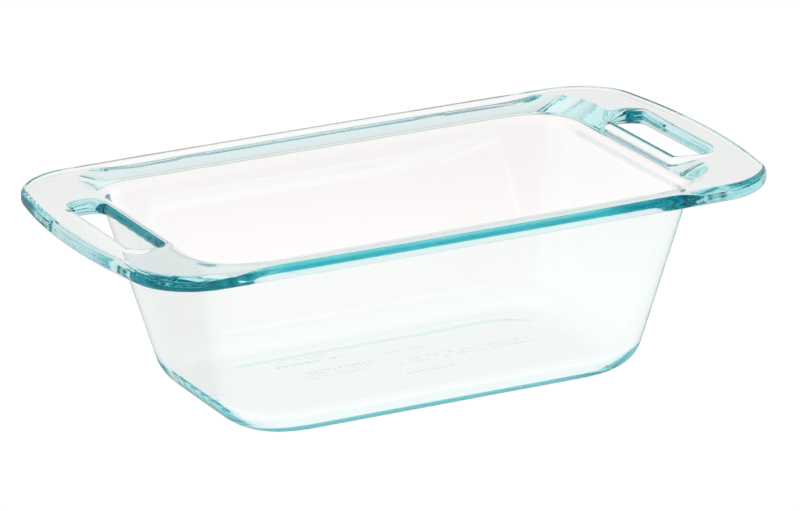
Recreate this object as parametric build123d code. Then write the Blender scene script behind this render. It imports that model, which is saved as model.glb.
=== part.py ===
from build123d import *
import math
import os

# Pressed-glass loaf dish: a tapered, round-cornered basin whose walls curl out
# into a rounded rim, with one broad looped handle at each end.
# One pressing, so one solid.  Millimetres, +Z up, origin at the centre of the
# underside, +X along the length (through both handles).

# ---- driving dimensions -----------------------------------------------------
LENGTH = 272.0          # over both handles
WIDTH = 154.8           # over the two long rims
HEIGHT = 79.5           # table to rim
RIM_T = 6.5             # thickness of rim and handles
RIM_ROUND = 2.4         # edge rounding of the rim
END_BOW = 9.1           # how far each handle end bows out past its corners
SIDE_BOW = 1.3          # how far each long rim bows out
RIM_CORNER_R = 21.0     # plan radius of the four outer corners

# basin, outside faces, half sizes where they cross z = 0 and z = HEIGHT
TOP_A, TOP_B, TOP_R = 103.6, 67.3, 21.8
BOT_A, BOT_B, BOT_R = 85.9, 50.2, 25.3
HEEL_R = 12.5           # outside rounding between walls and underside
WALL = 4.4              # wall thickness, measured level
FLOOR = 5.0             # floor thickness
CAVITY_HEEL_R = 10.0    # inside rounding between walls and floor
UNDER_LIP_R = 2.5       # outside rounding between walls and underside of rim

# inside lip: the walls curl out all round, most widely at the ends, where the
# slots cut the curl
LIP_R_SIDE = 11.0
LIP_R_END = 16.0
LIP_CORNER_R = 27.0     # plan radius of the inside corners at rim level

# handle slots
SLOT_IN = 108.4         # basin side of the slot
SLOT_OUT = 122.0        # outer side
SLOT_HALF_Y = 32.0
SLOT_CORNER_R = 6.0
SLOT_EDGE_R = 3.1       # edge rounding on top
SLOT_UNDER_R = 3.0      # edge rounding underneath

# shallow recess that leaves a narrow foot band round the underside
RECESS_DEPTH = 0.2
RECESS_A, RECESS_B, RECESS_R = 67.0, 31.0, 12.0

TAN_A = (TOP_A - BOT_A) / HEIGHT      # draft of the end walls
TAN_B = (TOP_B - BOT_B) / HEIGHT      # draft of the long walls


def outer(z):
    """Half length, half width and corner radius of the basin outside at height z."""
    t = z / HEIGHT
    return (
        BOT_A + (TOP_A - BOT_A) * t,
        BOT_B + (TOP_B - BOT_B) * t,
        BOT_R + (TOP_R - BOT_R) * t,
    )


def inner(z):
    """The same for the straight part of the basin inside."""
    a, b, r = outer(z)
    return a - WALL, b - WALL, r - WALL


def ring(a, b, r, z):
    """A round-cornered rectangle, centred, at height z."""
    return Plane.XY.offset(z) * RectangleRounded(2 * a, 2 * b, r)


def lip(radius, tangent, z):
    """How far a rounding between wall and rim stands out from the straight wall
    at height z, and where it ends on the rim face."""
    half = (math.pi / 2 + math.atan(tangent)) / 2
    run = radius / math.tan(half)                 # tangent length
    low = HEIGHT - run * math.cos(math.atan(tangent))
    if z <= low:
        return 0.0
    h = z - (HEIGHT - radius)
    arc = run - math.sqrt(max(radius * radius - h * h, 0.0))
    return arc - (z - HEIGHT) * tangent


def solid_of(x):
    """The one solid of a result."""
    s = x.solids()
    assert len(s) == 1, len(s)
    return s[0]


# ---- outside of the basin ---------------------------------------------------
rim_under = HEIGHT - RIM_T
tub = solid_of(loft([ring(*outer(0), 0), ring(*outer(HEIGHT - 2.0), HEIGHT - 2.0)], ruled=True))
tub = fillet(tub.edges().group_by(Axis.Z)[0], HEEL_R)

# ---- rim plate with bowed sides and ends ------------------------------------
A, B = LENGTH / 2, WIDTH / 2
corner = (A - END_BOW, B - SIDE_BOW)
with BuildSketch(Plane.XY.offset(rim_under)) as plate:
    with BuildLine():
        ThreePointArc((corner[0], -corner[1]), (A, 0), (corner[0], corner[1]))
        ThreePointArc((corner[0], corner[1]), (0, B), (-corner[0], corner[1]))
        ThreePointArc((-corner[0], corner[1]), (-A, 0), (-corner[0], -corner[1]))
        ThreePointArc((-corner[0], -corner[1]), (0, -B), (corner[0], -corner[1]))
    make_face()
    fillet(plate.vertices(), RIM_CORNER_R)
rim = solid_of(extrude(plate.sketch, RIM_T))
rim = fillet(rim.edges().filter_by(lambda e: abs(e.center().Z - rim_under) < 1e-3 or abs(e.center().Z - HEIGHT) < 1e-3), RIM_ROUND)

body = solid_of(tub + rim)

# rounding under the rim, where the outside of the walls meets it
wa, wb, wr = outer(rim_under)
under = [
    e
    for e in body.edges()
    if abs(e.center().Z - rim_under) < 1e-3
    and e.bounding_box().size.Z < 1e-3
    and abs(e.center().X) < wa + 0.5
    and abs(e.center().Y) < wb + 0.5
    and max(abs(e.center().X) - (wa - wr), 0) ** 2 + max(abs(e.center().Y) - (wb - wr), 0) ** 2 < (wr + 0.5) ** 2
]
body = fillet(under, UNDER_LIP_R)

# ---- handle slots -----------------------------------------------------------
with BuildSketch(Plane.XY.offset(rim_under - 8.0)) as mouth:
    with Locations(((SLOT_IN + SLOT_OUT) / 2, 0)):
        RectangleRounded(SLOT_OUT - SLOT_IN, 2 * SLOT_HALF_Y, SLOT_CORNER_R)
slot = solid_of(extrude(mouth.sketch, RIM_T + 9.0))


def slot_edges(solid, sign, z):
    """The edges of one slot's mouth in the plane at height z."""
    return [
        e
        for e in solid.edges()
        if abs(e.center().Z - z) < 1e-3
        and e.bounding_box().size.Z < 1e-3
        and SLOT_IN - 0.5 < sign * e.center().X < SLOT_OUT + 0.5
        and abs(e.center().Y) < SLOT_HALF_Y + 0.5
    ]


for sign, turn in ((1, 0), (-1, 180)):
    body = solid_of(body - Rot(0, 0, turn) * slot)
    body = fillet(slot_edges(body, sign, HEIGHT), SLOT_EDGE_R)
    body = fillet(slot_edges(body, sign, rim_under), SLOT_UNDER_R)

# ---- inside of the basin ----------------------------------------------------
start = HEIGHT - 0.9 * LIP_R_END
low_part = solid_of(loft([ring(*inner(FLOOR), FLOOR), ring(*inner(start), start)], ruled=True))
low_part = fillet(low_part.edges().group_by(Axis.Z)[0], CAVITY_HEEL_R)

sections = [ring(*inner(start), start)]
mouth_out = lip(LIP_R_END, TAN_A, HEIGHT)
for deg in (14, 24, 34, 44, 54, 64, 76, 90):
    z = HEIGHT - LIP_R_END + LIP_R_END * math.sin(math.radians(deg))
    a, b, r = inner(z)
    a += lip(LIP_R_END, TAN_A, z)
    b += lip(LIP_R_SIDE, TAN_B, z)
    grow = lip(LIP_R_END, TAN_A, z) / mouth_out
    sections.append(ring(a, b, r + (LIP_CORNER_R - r) * grow, z))
lip_part = solid_of(loft(sections, ruled=True))

body = solid_of(body - low_part)
body = solid_of(body - lip_part)

# ---- recess in the underside ------------------------------------------------
recess = extrude(Plane.XY * RectangleRounded(2 * RECESS_A, 2 * RECESS_B, RECESS_R), RECESS_DEPTH)
body = solid_of(body - recess)

os.makedirs("parts", exist_ok=True)
glass_dish = body
glass_dish.label = "glass_dish"
export_step(glass_dish, "parts/glass_dish.step")

box = glass_dish.bounding_box()
print("size", box.size, "volume cm3", round(glass_dish.volume / 1000, 1), "valid", glass_dish.is_valid)
print("mass at 2.5 g/cm3:", round(glass_dish.volume / 1000 * 2.5), "g")
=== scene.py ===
import bpy
import math
import numpy as np
from mathutils import Vector, Matrix


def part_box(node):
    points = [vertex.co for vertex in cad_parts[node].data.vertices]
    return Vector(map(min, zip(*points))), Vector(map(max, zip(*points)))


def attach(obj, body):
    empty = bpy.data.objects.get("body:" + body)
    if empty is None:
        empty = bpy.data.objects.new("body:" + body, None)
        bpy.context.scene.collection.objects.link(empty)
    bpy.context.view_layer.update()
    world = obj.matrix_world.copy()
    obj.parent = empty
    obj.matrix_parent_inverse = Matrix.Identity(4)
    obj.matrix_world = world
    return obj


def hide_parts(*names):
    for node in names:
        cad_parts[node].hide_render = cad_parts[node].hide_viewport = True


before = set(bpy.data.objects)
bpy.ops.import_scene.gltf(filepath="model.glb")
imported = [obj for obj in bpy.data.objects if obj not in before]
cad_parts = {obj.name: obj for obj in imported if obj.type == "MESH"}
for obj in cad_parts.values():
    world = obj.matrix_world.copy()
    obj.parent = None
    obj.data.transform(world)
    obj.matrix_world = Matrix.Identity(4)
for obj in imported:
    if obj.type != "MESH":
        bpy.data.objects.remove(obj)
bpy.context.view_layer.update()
MM = 0.001

# =============================================================================
# The dish as one implicit shape, in millimetres: negative inside the glass.
# The driving sizes are those of the CAD node, whose box is read below.
# =============================================================================
lo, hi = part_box("glass_dish")
LENGTH = (hi[0] - lo[0]) / MM
WIDTH = (hi[1] - lo[1]) / MM
H = (hi[2] - lo[2]) / MM
A, B = LENGTH / 2, WIDTH / 2

RIM_T = 6.5
RIM_ROUND = 2.4
END_BOW, SIDE_BOW, RIM_CORNER_R = 9.1, 1.3, 21.0
TOP_A, TOP_B, TOP_R = 103.6, 67.3, 21.8
BOT_A, BOT_B, BOT_R = 85.9, 50.2, 25.3
HEEL_R = 12.5
WALL, FLOOR = 4.4, 5.0
CAVITY_HEEL_R = 9.0
CORNER_P, CORNER_GROW = 2.6, 1.25   # corners of the basin ease into the flat walls
UNDER_LIP_R = 2.5
LIP_SIDE, LIP_END = 9.0, 12.6
SLOT_IN, SLOT_OUT, SLOT_Y, SLOT_CORNER_R = 108.4, 122.0, 32.0, 6.0
SLOT_EDGE_R = 3.2
RECESS_DEPTH, RECESS_A, RECESS_B, RECESS_R = 0.2, 67.0, 31.0, 12.0
RECESS_EASE = 8.0

TAN_A = (TOP_A - BOT_A) / H
TAN_B = (TOP_B - BOT_B) / H
COS = math.cos(math.atan((TAN_A + TAN_B) / 2))
RIM_LOW = H - RIM_T

_ce, _se = B - SIDE_BOW, END_BOW
R_END = (_ce * _ce + _se * _se) / (2 * _se)
_cs, _ss = A - END_BOW, SIDE_BOW
R_SIDE = (_cs * _cs + _ss * _ss) / (2 * _ss)


def round_max(a, b, r):
    """Intersection of two shapes with the shared edge rounded to r."""
    u, v = np.maximum(a + r, 0), np.maximum(b + r, 0)
    return np.minimum(np.maximum(a, b), -r) + np.sqrt(u * u + v * v)


def round_min(a, b, r):
    """Union of two shapes with the inner corner filled to radius r."""
    u, v = np.maximum(r - a, 0), np.maximum(r - b, 0)
    return np.maximum(np.minimum(a, b), r) - np.sqrt(u * u + v * v)


def rrect(px, py, a, b, r, p=2.0):
    """Level distance to a round-cornered rectangle, for px, py >= 0."""
    qx, qy = px - (a - r), py - (b - r)
    ux, uy = np.maximum(qx, 0), np.maximum(qy, 0)
    if p == 2.0:
        d = np.sqrt(ux * ux + uy * uy)
    else:
        d = (ux ** p + uy ** p + 1e-12) ** (1 / p)
    return d + np.minimum(np.maximum(qx, qy), 0) - r


def smooth(t):
    t = np.clip(t, 0, 1)
    return t * t * (3 - 2 * t)


def shape(p, detail=True):
    x0, y0, z = p[..., 0], p[..., 1], p[..., 2]
    x, y = np.abs(x0), np.abs(y0)
    t = z / H

    # underside, with the shallow recess
    rec = rrect(x, y, RECESS_A, RECESS_B, RECESS_R)
    floor_z = RECESS_DEPTH * smooth(0.5 - rec / RECESS_EASE)
    if detail:
        floor_z = floor_z - marks(x0, y0)

    # outside of the basin
    wall = rrect(
        x, y,
        BOT_A + (TOP_A - BOT_A) * t,
        BOT_B + (TOP_B - BOT_B) * t,
        (BOT_R + (TOP_R - BOT_R) * t) * CORNER_GROW,
        CORNER_P,
    ) * COS
    tub = round_max(wall, floor_z - z, HEEL_R * 0.82)

    # rim plate
    end = np.sqrt((x - (A - R_END)) ** 2 + y * y) - R_END
    side = np.sqrt(x * x + (y - (B - R_SIDE)) ** 2) - R_SIDE
    plan = round_max(end, side, RIM_CORNER_R)
    slab = np.abs(z - (H - RIM_T / 2)) - RIM_T / 2
    rim = round_max(plan, slab, RIM_ROUND)

    body = round_min(tub, rim, UNDER_LIP_R)

    # inside of the basin, its mouth curling out along the long sides
    a = BOT_A + (TOP_A - BOT_A) * t - WALL
    b = BOT_B + (TOP_B - BOT_B) * t - WALL
    r = (BOT_R + (TOP_R - BOT_R) * t) * CORNER_GROW - WALL
    cav = rrect(x, y, a, b, r, CORNER_P) * COS
    cav = round_max(cav, FLOOR - z, CAVITY_HEEL_R * 0.82)
    qx, qy = np.maximum(x - (a - r), 0), np.maximum(y - (b - r), 0)
    ny = qy * qy / np.maximum(qx * qx + qy * qy, 1e-9)
    ny = np.where((qx <= 0) & (qy <= 0), (y - b > x - a) * 1.0, ny)
    lip = LIP_END + (LIP_SIDE - LIP_END) * smooth(ny)
    body = np.maximum(body, round_max(z - H, -cav, lip))

    # handle slots
    hx, cx = (SLOT_OUT - SLOT_IN) / 2, (SLOT_OUT + SLOT_IN) / 2
    slot = rrect(np.abs(x - cx), y, hx, SLOT_Y, SLOT_CORNER_R)
    body = round_max(body, -slot, SLOT_EDGE_R)
    if detail:
        body = body + ripple(x0, y0, z)
    return body


def ripple(x, y, z):
    """The slight unevenness of a fire-finished pressing, in millimetres."""
    w = np.sin(0.13 * x + 0.9 * np.sin(0.07 * y + 0.11 * z))
    w = w + np.sin(0.12 * y - 0.10 * x + 1.1 * np.sin(0.05 * x - 0.09 * z + 0.6) + 2.1)
    w = w + np.sin(0.16 * z + 0.11 * y + 0.8 * np.sin(0.09 * x + 1.7) + 4.0)
    return 0.008 * w


# rows of small plain bars raised in the recess: (y, half height, x from, x to, pitch, bar)
MARK_ROWS = [
    (27.0, 1.1, -44.0, -16.0, 3.4, 2.3),
    (22.6, 1.1, -44.0, -16.0, 3.4, 2.3),
    (11.0, 0.7, -38.0, -6.0, 2.6, 1.7),
    (7.6, 0.7, -38.0, -6.0, 2.6, 1.7),
    (4.2, 0.7, -38.0, -14.0, 2.6, 1.7),
    (17.0, 0.7, 0.0, 22.0, 2.6, 1.7),
    (6.6, 0.8, 0.0, 58.0, 2.8, 1.9),
    (2.6, 0.8, 0.0, 58.0, 2.8, 1.9),
    (-9.0, 0.5, -2.0, 20.0, 3.0, 2.0),
]
MARK_HEIGHT, MARK_EASE = 0.04, 0.9


def marks(x, y):
    """Height of the raised marks in the recess."""
    h = np.zeros(np.broadcast(x, y).shape)
    for k, (yc, half, xa, xb, pitch, bar) in enumerate(MARK_ROWS):
        u = (x - xa) / pitch
        cell = np.floor(u)
        # every fifth or so bar is left out, the rest differ a little in length
        wob = np.sin(cell * 12.9898 + k * 4.1) * 43758.5453
        wob = wob - np.floor(wob)
        width = np.where(wob > 0.22, bar * (0.75 + 0.4 * wob), 0.0)
        dx = np.abs(x - xa - (cell + 0.5) * pitch) - width / 2
        inside = (x > xa) & (x < xb) & (width > 0)
        d = np.maximum(dx, np.abs(y - yc) - half)
        h = np.maximum(h, np.where(inside, smooth(0.5 - d / MARK_EASE), 0))
    return MARK_HEIGHT * h


def mark_edges(x, y, e=0.35):
    """Where the raised marks slope, 0 to 1."""
    gx = marks(x + e, y) - marks(x - e, y)
    gy = marks(x, y + e) - marks(x, y - e)
    return np.clip(np.sqrt(gx * gx + gy * gy) / MARK_HEIGHT, 0, 1)


def gradient(p, e=0.02):
    g = np.empty_like(p)
    for k in range(3):
        d = np.zeros(3)
        d[k] = e
        g[:, k] = (shape(p + d) - shape(p - d)) / (2 * e)
    return g


def project(p, steps=6):
    """Moves points onto the surface, along its gradient."""
    for _ in range(steps):
        f = shape(p)
        g = gradient(p)
        n2 = np.maximum((g * g).sum(1), 1e-6)
        step = np.clip(f / n2, -0.6, 0.6)
        p = p - g * step[:, None]
    return p


def surface_nets(step):
    """A closed quad mesh of the shape, from a grid of that step."""
    gx = np.arange(-math.ceil((A + 2) / step), math.ceil((A + 2) / step) + 1) * step + step * 0.37
    gy = np.arange(-math.ceil((B + 2) / step), math.ceil((B + 2) / step) + 1) * step + step * 0.41
    gz = np.arange(-3, math.ceil(H / step) + 4) * step + step * 0.33
    f = np.empty((len(gx), len(gy), len(gz)), np.float32)
    Y, Z = np.meshgrid(gy, gz, indexing="ij")
    for i0 in range(0, len(gx), 32):
        part = gx[i0:i0 + 32]
        P = np.empty((len(part), len(gy), len(gz), 3))
        P[..., 0] = part[:, None, None]
        P[..., 1] = Y
        P[..., 2] = Z
        f[i0:i0 + 32] = shape(P, detail=False)
    s = f < 0
    cells = np.zeros(tuple(n - 1 for n in s.shape), np.int8)
    for dx in (0, 1):
        for dy in (0, 1):
            for dz in (0, 1):
                cells += s[dx:dx + cells.shape[0], dy:dy + cells.shape[1], dz:dz + cells.shape[2]]
    used = (cells > 0) & (cells < 8)
    index = np.full(cells.shape, -1, np.int64)
    ci, cj, ck = np.nonzero(used)
    index[ci, cj, ck] = np.arange(len(ci))
    total = np.zeros((len(ci), 3))
    count = np.zeros(len(ci))
    g = (gx, gy, gz)
    corners = [(dx, dy, dz) for dx in (0, 1) for dy in (0, 1) for dz in (0, 1)]
    for c in corners:
        for axis in range(3):
            if c[axis]:
                continue
            d = list(c)
            d[axis] = 1
            a_ = f[ci + c[0], cj + c[1], ck + c[2]]
            b_ = f[ci + d[0], cj + d[1], ck + d[2]]
            cross = (a_ < 0) != (b_ < 0)
            w = np.where(cross, a_ / np.where(cross, a_ - b_, 1), 0)
            pt = np.stack([
                gx[ci] + c[0] * step, gy[cj] + c[1] * step, gz[ck] + c[2] * step,
            ], 1).astype(float)
            pt[:, axis] += w * step
            total += pt * cross[:, None]
            count += cross
    verts = total / count[:, None]
    quads = []
    for axis in range(3):
        lo_ = [slice(None)] * 3
        hi_ = [slice(None)] * 3
        lo_[axis] = slice(0, -1)
        hi_[axis] = slice(1, None)
        a_, b_ = s[tuple(lo_)], s[tuple(hi_)]
        i, j, k = np.nonzero(a_ != b_)
        inside_first = a_[i, j, k]
        u, v = (axis + 1) % 3, (axis + 2) % 3
        idx = [i, j, k]

        def cell(du, dv):
            q = [c.copy() for c in idx]
            q[u] += du
            q[v] += dv
            return index[q[0], q[1], q[2]]

        q = np.stack([cell(-1, -1), cell(0, -1), cell(0, 0), cell(-1, 0)], 1)
        q[~inside_first] = q[~inside_first][:, ::-1]
        quads.append(q)
    return verts, np.concatenate(quads)


STEP = 0.8
verts, quads = surface_nets(STEP)
verts = project(verts, 5)
# even the net out: each point moves towards its neighbours' mean, then back onto the surface
e = np.concatenate([quads[:, [0, 1]], quads[:, [1, 2]], quads[:, [2, 3]], quads[:, [3, 0]]])
deg = np.bincount(e.ravel(), minlength=len(verts))
for _ in range(3):
    mean = np.zeros_like(verts)
    for k in range(3):
        mean[:, k] = np.bincount(e[:, 0], verts[e[:, 1], k], len(verts)) + np.bincount(e[:, 1], verts[e[:, 0], k], len(verts))
    mean /= deg[:, None]
    verts = project(verts + (mean - verts) * 0.6, 2)
verts = project(verts, 3)

mesh = bpy.data.meshes.new("pressed_dish")
mesh.from_pydata((verts * MM).tolist(), [], quads.tolist())
mesh.validate()
dish = bpy.data.objects.new("pressed_dish", mesh)
bpy.context.scene.collection.objects.link(dish)

# flat stretches need few faces: thin them, then set every point and normal exactly
FACES = 190_000
keep = (np.abs(verts[:, 0]) < 62) & (verts[:, 1] > -12) & (verts[:, 1] < 31) & (verts[:, 2] < 1.0)
group = dish.vertex_groups.new(name="thin_here")
group.add(np.nonzero(~keep)[0].tolist(), 1.0, "REPLACE")
thin = dish.modifiers.new("thin", "DECIMATE")
thin.vertex_group = "thin_here"
thin.ratio = FACES / (2 * len(mesh.polygons))
dg = bpy.context.evaluated_depsgraph_get()
slim = bpy.data.meshes.new_from_object(dish.evaluated_get(dg), depsgraph=dg)
dish.modifiers.clear()
dish.vertex_groups.clear()
dish.data = slim
bpy.data.meshes.remove(mesh)
mesh = slim
mesh.name = "pressed_dish"
print("faces", len(mesh.polygons))
co = np.empty(3 * len(mesh.vertices))
mesh.vertices.foreach_get("co", co)
co = project(co.reshape(-1, 3) / MM, 3)
co[:, 0] = np.clip(co[:, 0], -A, A)
co[:, 1] = np.clip(co[:, 1], -B, B)
co[:, 2] = np.clip(co[:, 2], 0, H)
mesh.vertices.foreach_set("co", (co * MM).ravel())
g = gradient(co)
g /= np.maximum(np.linalg.norm(g, axis=1), 1e-9)[:, None]
for poly in mesh.polygons:
    poly.use_smooth = True
# mask for the painted shade: where the small marks underneath slope
painted_mark_shade = mesh.attributes.new("mark_edge", "FLOAT", "POINT")
painted_mark_shade.data.foreach_set("value", np.where(co[:, 2] < 1.0, mark_edges(co[:, 0], co[:, 1]), 0.0))
mesh.normals_split_custom_set_from_vertices(g.tolist())
mesh.update()

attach(dish, "root")
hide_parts("glass_dish")

# =============================================================================
# glass
# =============================================================================
glass = bpy.data.materials.new("pressed_glass")
glass.use_nodes = True
nt = glass.node_tree
bsdf = nt.nodes["Principled BSDF"]
out = nt.nodes["Material Output"]
geo = nt.nodes.new("ShaderNodeNewGeometry")
tex = nt.nodes.new("ShaderNodeTexCoord")
pos = nt.nodes.new("ShaderNodeSeparateXYZ")
nor = nt.nodes.new("ShaderNodeSeparateXYZ")
nt.links.new(tex.outputs["Object"], pos.inputs[0])
nt.links.new(tex.outputs["Normal"], nor.inputs[0])


def link_math(op, a, b=None, c=None, clamp=False):
    n = nt.nodes.new("ShaderNodeMath")
    n.operation = op
    n.use_clamp = clamp
    for k, v in enumerate((a, b, c)):
        if v is None:
            continue
        if isinstance(v, (int, float)):
            n.inputs[k].default_value = v
        else:
            nt.links.new(v, n.inputs[k])
    return n.outputs[0]


def ramp_between(v, lo_, hi_):
    n = nt.nodes.new("ShaderNodeMapRange")
    n.interpolation_type = "SMOOTHSTEP"
    n.inputs["From Min"].default_value = lo_
    n.inputs["From Max"].default_value = hi_
    nt.links.new(v, n.inputs["Value"])
    return n.outputs["Result"]


# the glass shows its own colour where it is seen edge on: rim and slot edges
ax = link_math("ABSOLUTE", pos.outputs["X"])
ay = link_math("ABSOLUTE", pos.outputs["Y"])


def arc_reach(u, v, centre, radius):
    """How far a point lies outside an arc of that radius centred on the u axis."""
    du = link_math("SUBTRACT", u, centre * MM)
    d2 = link_math("ADD", link_math("MULTIPLY", du, du), link_math("MULTIPLY", v, v))
    return link_math("SUBTRACT", link_math("SQRT", d2), radius * MM)


reach = link_math("MAXIMUM", arc_reach(ax, ay, A - R_END, R_END), arc_reach(ay, ax, B - R_SIDE, R_SIDE))
flat = link_math("ABSOLUTE", nor.outputs["Z"])
upright = link_math("SUBTRACT", 1.0, ramp_between(flat, 0.45, 0.85))
outer = ramp_between(reach, -3.6 * MM, -2.4 * MM)
upper = ramp_between(pos.outputs["Z"], (H - 4.0) * MM, (H - 2.6) * MM)
outer = link_math("MULTIPLY", link_math("MULTIPLY", outer, upper), 0.25)
hole = link_math("MULTIPLY", ramp_between(ax, (SLOT_IN - 3.5) * MM, (SLOT_IN - 2.0) * MM),
                 link_math("SUBTRACT", 1.0, ramp_between(ax, (SLOT_OUT + 2.0) * MM, (SLOT_OUT + 3.5) * MM)))
hole = link_math("MULTIPLY", hole, link_math("SUBTRACT", 1.0, ramp_between(ay, (SLOT_Y + 2.0) * MM, (SLOT_Y + 3.5) * MM)))
hole = link_math("MULTIPLY", hole, ramp_between(pos.outputs["Z"], (RIM_LOW - 1.0) * MM, (RIM_LOW + 0.5) * MM))
edge = link_math("MULTIPLY", upright, link_math("MAXIMUM", outer, hole))
mot = nt.nodes.new("ShaderNodeTexNoise")
mot.inputs["Scale"].default_value = 60.0
mot.inputs["Detail"].default_value = 3.0
nt.links.new(tex.outputs["Object"], mot.inputs["Vector"])
edge = link_math("MULTIPLY", edge, link_math("MULTIPLY_ADD", mot.outputs["Fac"], 0.5, 0.7), clamp=True)
tone = nt.nodes.new("ShaderNodeMix")
tone.data_type = "RGBA"
tone.inputs[6].default_value = (1, 1, 1, 1)
tone.inputs[7].default_value = (0.82, 0.95, 0.97, 1)
nt.links.new(edge, tone.inputs["Factor"])
# painted shade: the sloping sides of the small marks underneath are painted faintly grey, where the clear
# glass only looks darker
painted_mark_shade = nt.nodes.new("ShaderNodeAttribute")
painted_mark_shade.attribute_type = "GEOMETRY"
painted_mark_shade.attribute_name = "mark_edge"
shade = nt.nodes.new("ShaderNodeMix")
shade.data_type = "RGBA"
shade.inputs[7].default_value = (0.80, 0.81, 0.82, 1)
nt.links.new(painted_mark_shade.outputs["Fac"], shade.inputs["Factor"])
nt.links.new(tone.outputs[2], shade.inputs[6])
nt.links.new(shade.outputs[2], bsdf.inputs["Base Color"])
bsdf.inputs["Transmission Weight"].default_value = 1.0
bsdf.inputs["IOR"].default_value = 1.5
bsdf.inputs["Roughness"].default_value = 0.0
vol = nt.nodes.new("ShaderNodeVolumeAbsorption")
vol.inputs["Color"].default_value = (0.0, 0.80, 0.84, 1)
vol.inputs["Density"].default_value = 12.0
nt.links.new(vol.outputs["Volume"], out.inputs["Volume"])
mesh.materials.clear()
mesh.materials.append(glass)

# =============================================================================
# floor, light and camera
# =============================================================================
S = 0.907                       # model scale of the fitted view
AZ, EL, ROLL = math.radians(-25.2219103), math.radians(18.0833312), math.radians(-1.65831601)
FOCAL, DIST = 6350.59, 2711.12852 * S * MM
CX, CY = 399.166024, 372.194166

back = Vector((math.sin(AZ) * math.cos(EL), -math.cos(AZ) * math.cos(EL), math.sin(EL)))
r0 = (-back).cross(Vector((0, 0, 1))).normalized()
u0 = r0.cross(-back)
right = r0 * math.cos(ROLL) + u0 * math.sin(ROLL)
up = -r0 * math.sin(ROLL) + u0 * math.cos(ROLL)
x_off = (CX - 400) / FOCAL * DIST
y_off = -(CY - 255.5) / FOCAL * DIST
place = -x_off * right - y_off * up + DIST * back
cam = bpy.data.cameras.new("camera")
cam_ob = bpy.data.objects.new("camera", cam)
bpy.context.scene.collection.objects.link(cam_ob)
cam_ob.matrix_world = Matrix((
    (right[0], up[0], back[0], place[0]),
    (right[1], up[1], back[1], place[1]),
    (right[2], up[2], back[2], place[2]),
    (0, 0, 0, 1),
))
cam.sensor_fit = "HORIZONTAL"
cam.sensor_width = 36.0
cam.lens = FOCAL * 36.0 / 800.0
cam.clip_end = 50
bpy.context.scene.camera = cam_ob

WARM = (1.068, 1.0, 0.985, 1)
GLOW = 0.98                      # the lit surroundings
FRONT = 0.25                     # what of them is left on the camera's side of the studio
MIRRORED = (0.10, 0.68, 0.40)    # what is left of them in reflections: in front, behind, floor

floor_mesh = bpy.data.meshes.new("floor")
floor_mesh.from_pydata([(-6, -6, 0), (6, -6, 0), (6, 6, 0), (-6, 6, 0)], [], [(0, 1, 2, 3)])
floor = bpy.data.objects.new("floor", floor_mesh)
floor.location.z = -0.0002
bpy.context.scene.collection.objects.link(floor)
white = bpy.data.materials.new("floor_white")
white.use_nodes = True
wt = white.node_tree
wt.nodes.clear()
wo = wt.nodes.new("ShaderNodeOutputMaterial")
path = wt.nodes.new("ShaderNodeLightPath")
glow = wt.nodes.new("ShaderNodeEmission")
direct = wt.nodes.new("ShaderNodeEmission")
mix = wt.nodes.new("ShaderNodeMixShader")
glow.inputs["Color"].default_value = WARM
direct.inputs["Color"].default_value = (1, 1, 1, 1)
direct.inputs["Strength"].default_value = 1.02
dim = wt.nodes.new("ShaderNodeMath")
dim.operation = "MULTIPLY_ADD"
dim.inputs[1].default_value = MIRRORED[2] - GLOW
dim.inputs[2].default_value = GLOW
wt.links.new(path.outputs["Is Reflection Ray"], dim.inputs[0])
# brightest under the dish, falling to dark far out on the camera's side
spot = wt.nodes.new("ShaderNodeNewGeometry")
away = wt.nodes.new("ShaderNodeVectorMath")
away.operation = "LENGTH"
wt.links.new(spot.outputs["Position"], away.inputs[0])
near = wt.nodes.new("ShaderNodeMapRange")
near.interpolation_type = "SMOOTHSTEP"
near.inputs["From Min"].default_value = 0.12
near.inputs["From Max"].default_value = 0.30
near.inputs["To Min"].default_value = 1.09
near.inputs["To Max"].default_value = 1.0
wt.links.new(away.outputs["Value"], near.inputs["Value"])
split = wt.nodes.new("ShaderNodeSeparateXYZ")
wt.links.new(spot.outputs["Position"], split.inputs[0])
front = wt.nodes.new("ShaderNodeMapRange")
front.interpolation_type = "SMOOTHSTEP"
front.inputs["From Min"].default_value = -0.9
front.inputs["From Max"].default_value = -0.3
front.inputs["To Min"].default_value = FRONT
front.inputs["To Max"].default_value = 1.0
wt.links.new(split.outputs["Y"], front.inputs["Value"])
both = wt.nodes.new("ShaderNodeMath")
both.operation = "MULTIPLY"
wt.links.new(near.outputs["Result"], both.inputs[0])
wt.links.new(front.outputs["Result"], both.inputs[1])
power = wt.nodes.new("ShaderNodeMath")
power.operation = "MULTIPLY"
wt.links.new(dim.outputs[0], power.inputs[0])
wt.links.new(both.outputs[0], power.inputs[1])
wt.links.new(power.outputs[0], glow.inputs["Strength"])
wt.links.new(path.outputs["Is Camera Ray"], mix.inputs["Fac"])
wt.links.new(glow.outputs[0], mix.inputs[1])
wt.links.new(direct.outputs[0], mix.inputs[2])
# seen from below, the floor isn't there
clear = wt.nodes.new("ShaderNodeBsdfTransparent")
upside = wt.nodes.new("ShaderNodeMixShader")
wt.links.new(spot.outputs["Backfacing"], upside.inputs["Fac"])
wt.links.new(mix.outputs[0], upside.inputs[1])
wt.links.new(clear.outputs[0], upside.inputs[2])
wt.links.new(upside.outputs[0], wo.inputs["Surface"])
floor_mesh.materials.append(white)

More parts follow.
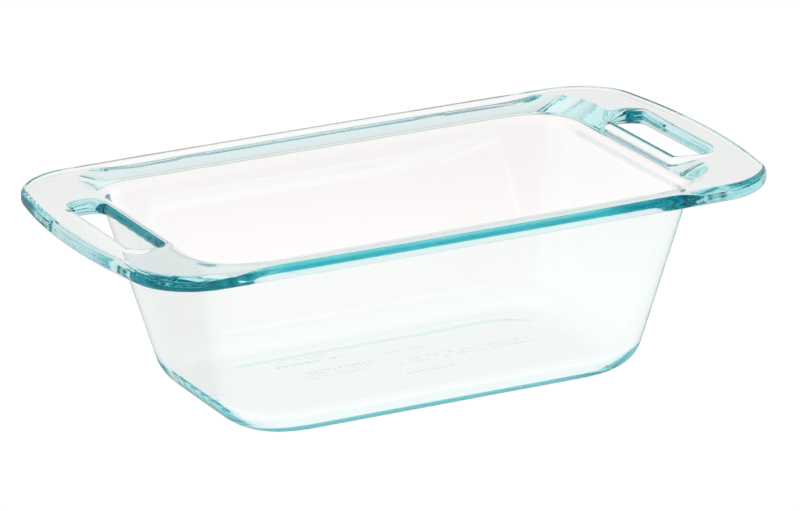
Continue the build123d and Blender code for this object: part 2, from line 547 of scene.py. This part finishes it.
# the room: a white tent, a little brighter overhead
world = bpy.data.worlds.new("studio")
bpy.context.scene.world = world
world.use_nodes = True
nt = world.node_tree
nt.nodes.clear()
wo = nt.nodes.new("ShaderNodeOutputWorld")
coord = nt.nodes.new("ShaderNodeTexCoord")
sep = nt.nodes.new("ShaderNodeSeparateXYZ")
ramp = nt.nodes.new("ShaderNodeValToRGB")
ramp.color_ramp.interpolation = "EASE"
ramp.color_ramp.elements[0].position = 0.0
ramp.color_ramp.elements[0].color = (0.84, 0.84, 0.84, 1)
ramp.color_ramp.elements[1].position = 1.0
ramp.color_ramp.elements[1].color = (1.0, 1.0, 1.0, 1)
e = ramp.color_ramp.elements.new(0.16)
e.color = (0.84, 0.84, 0.84, 1)
tint = nt.nodes.new("ShaderNodeMix")
tint.data_type = "RGBA"
tint.blend_type = "MULTIPLY"
tint.inputs["Factor"].default_value = 1.0
tint.inputs[7].default_value = WARM
room = nt.nodes.new("ShaderNodeBackground")
direct = nt.nodes.new("ShaderNodeBackground")
direct.inputs["Color"].default_value = (1, 1, 1, 1)
direct.inputs["Strength"].default_value = 1.02
path = nt.nodes.new("ShaderNodeLightPath")
mix = nt.nodes.new("ShaderNodeMixShader")
# reflections see a dark studio in front of the dish and a bright one behind it
side = nt.nodes.new("ShaderNodeMapRange")
side.interpolation_type = "SMOOTHSTEP"
side.inputs["From Min"].default_value = -0.35
side.inputs["From Max"].default_value = 0.35
side.inputs["To Min"].default_value = MIRRORED[0] - GLOW
side.inputs["To Max"].default_value = MIRRORED[1] - GLOW
nt.links.new(sep.outputs["Y"], side.inputs["Value"])
dim = nt.nodes.new("ShaderNodeMath")
dim.operation = "MULTIPLY_ADD"
dim.inputs[2].default_value = GLOW
nt.links.new(path.outputs["Is Reflection Ray"], dim.inputs[0])
nt.links.new(side.outputs["Result"], dim.inputs[1])
dark = nt.nodes.new("ShaderNodeMapRange")
dark.interpolation_type = "SMOOTHSTEP"
dark.inputs["From Min"].default_value = -0.65
dark.inputs["From Max"].default_value = -0.15
dark.inputs["To Min"].default_value = FRONT
dark.inputs["To Max"].default_value = 1.0
nt.links.new(sep.outputs["Y"], dark.inputs["Value"])
# ... but only low down: higher up it is as bright as the rest
high = nt.nodes.new("ShaderNodeMapRange")
high.interpolation_type = "SMOOTHSTEP"
high.inputs["From Min"].default_value = 0.24
high.inputs["From Max"].default_value = 0.40
nt.links.new(sep.outputs["Z"], high.inputs["Value"])
lifted = nt.nodes.new("ShaderNodeMath")
lifted.operation = "MAXIMUM"
nt.links.new(dark.outputs["Result"], lifted.inputs[0])
nt.links.new(high.outputs["Result"], lifted.inputs[1])
power = nt.nodes.new("ShaderNodeMath")
power.operation = "MULTIPLY"
nt.links.new(dim.outputs[0], power.inputs[0])
nt.links.new(lifted.outputs[0], power.inputs[1])
nt.links.new(power.outputs[0], room.inputs["Strength"])
nt.links.new(coord.outputs["Generated"], sep.inputs[0])
nt.links.new(sep.outputs["Z"], ramp.inputs["Fac"])
nt.links.new(ramp.outputs["Color"], tint.inputs[6])
nt.links.new(tint.outputs[2], room.inputs["Color"])
nt.links.new(path.outputs["Is Camera Ray"], mix.inputs["Fac"])
nt.links.new(room.outputs[0], mix.inputs[1])
nt.links.new(direct.outputs[0], mix.inputs[2])
nt.links.new(mix.outputs[0], wo.inputs["Surface"])

bpy.context.scene.view_settings.view_transform = "Standard"
cyc = bpy.context.scene.cycles
cyc.max_bounces = 200
cyc.transmission_bounces = 200
cyc.glossy_bounces = 200
